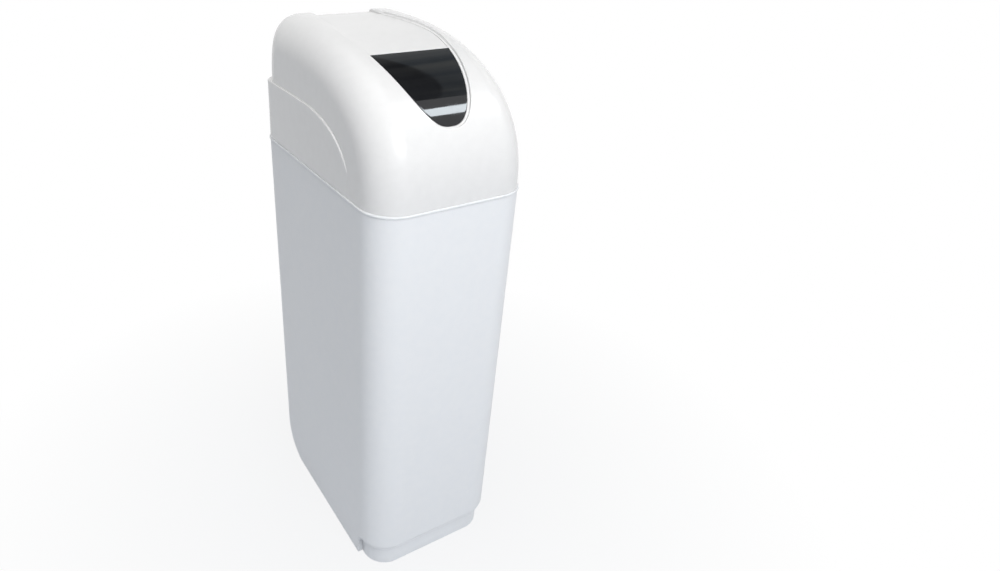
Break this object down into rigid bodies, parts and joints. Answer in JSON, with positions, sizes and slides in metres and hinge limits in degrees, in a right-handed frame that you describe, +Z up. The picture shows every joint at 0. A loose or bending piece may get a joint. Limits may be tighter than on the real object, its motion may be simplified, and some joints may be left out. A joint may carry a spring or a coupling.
{
  "type": "water softener",
  "caption": "Tall cabinet water softener with a curved lift-off hood, a hinged salt lid with a smoked window, a resin tank and a timer control valve.",
  "frame": {"origin": "centre of the cabinet's foot on the floor", "axes": "+Z up, front faces -Y, +X to the right seen from the front"},
  "size_m": [0.324, 0.5585, 1.1152],
  "materials": {
    "cabinet_white": "satin",
    "hood_white": "gloss",
    "smoked_acrylic": "gloss",
    "dark_brown": "satin",
    "black_plastic": "satin",
    "grey_plastic": "satin",
    "teal_face": "satin",
    "natural_plastic": "satin",
    "clear_tube": "gloss",
    "label_white": "gloss",
    "dial_grey": "satin",
    "red_plastic": "gloss",
    "tank_wrap": "satin",
    "resin_amber": "satin",
    "steel": "brushed",
    "rubber": "matte"
  },
  "bodies": {
    "cabinet": {"cabinet_body": "cabinet_white", "overflow_elbow": "black_plastic", "overflow_nut": "black_plastic", "overflow_gasket": "rubber", "salt_grid": "natural_plastic", "brine_well": "natural_plastic", "brine_well_cap": "natural_plastic", "air_check": "natural_plastic", "brine_riser": "natural_plastic", "brine_valve": "black_plastic", "float_guide": "black_plastic", "brine_line": "clear_tube", "resin_tank": "tank_wrap", "tank_boot": "black_plastic", "resin_bed": "resin_amber", "riser_tube": "natural_plastic", "bottom_strainer": "natural_plastic", "top_strainer": "natural_plastic", "valve_body": "dark_brown", "tank_seal": "rubber", "port_yoke": "black_plastic", "port_seals": "rubber", "yoke_clip": "grey_plastic", "clip_screw": "steel", "injector_body": "dark_brown", "injector_cap": "black_plastic", "injector_screws": "steel", "brine_nut": "black_plastic", "drain_fitting": "dark_brown", "seal_stack": "rubber", "end_plug": "black_plastic", "timer_cover": "grey_plastic", "timer_bezel": "black_plastic", "face_plate": "teal_face", "timer_plate": "grey_plastic", "cover_screws": "steel", "power_gland": "black_plastic", "drive_motor": "steel", "recess_ring": "black_plastic", "dial_index": "black_plastic"},
    "piston_set": {"piston": "label_white", "piston_rod": "steel"},
    "knob": {"regeneration_knob": "black_plastic", "knob_label": "label_white", "knob_shaft": "steel", "main_gear": "natural_plastic"},
    "program": {"program_dial": "dial_grey", "dial_hub": "black_plastic", "dial_shaft": "steel"},
    "day_wheel": {"day_gear": "black_plastic"},
    "button": {"red_button": "red_plastic"},
    "pinion": {"motor_pinion": "label_white"},
    "float_set": {"float_rod": "steel", "brine_float": "natural_plastic"},
    "hood_shell": {"hood": "hood_white", "hinge_ears": "hood_white", "hinge_pin": "steel"},
    "lid": {"salt_lid": "hood_white", "lid_arms": "hood_white", "lid_window": "smoked_acrylic"}
  },
  "joints": [
    {"name": "hood_lift", "type": "slide", "parent": "cabinet", "child": "hood_shell", "axis": [0, 0, 1], "range_m": [0, 0.26]},
    {"name": "lid_hinge", "type": "hinge", "parent": "hood_shell", "child": "lid", "pos_m": [0, 0.182, 1.0979], "axis": [-1, 0, 0], "range_deg": [0, 95]},
    {"name": "knob_turn", "type": "hinge", "parent": "cabinet", "child": "knob", "pos_m": [0, 0.065, 1.0074], "axis": [0, -1, 0], "continuous": true},
    {"name": "program_turn", "type": "hinge", "parent": "cabinet", "child": "program", "pos_m": [0.056, 0.0694, 1.0054], "axis": [0, -1, 0], "continuous": true},
    {"name": "day_turn", "type": "hinge", "parent": "cabinet", "child": "day_wheel", "pos_m": [-0.046, 0.075, 1.0074], "axis": [0, -1, 0], "continuous": true},
    {"name": "pinion_turn", "type": "hinge", "parent": "cabinet", "child": "pinion", "pos_m": [-0.046, 0.075, 0.9771], "axis": [0, -1, 0], "continuous": true},
    {"name": "button_press", "type": "slide", "parent": "day_wheel", "child": "button", "axis": [0, 1, 0], "range_m": [0, 0.0025], "stiffness_N_per_m": 200},
    {"name": "piston_slide", "type": "slide", "parent": "cabinet", "child": "piston_set", "axis": [0, 0, 1], "range_m": [0, 0.01]},
    {"name": "float_rise", "type": "slide", "parent": "cabinet", "child": "float_set", "axis": [0, 0, 1], "range_m": [0, 0.02]}
  ],
  "couplings": [
    {"joint": "pinion_turn", "follows": "day_turn", "ratio": -4}
  ]
}
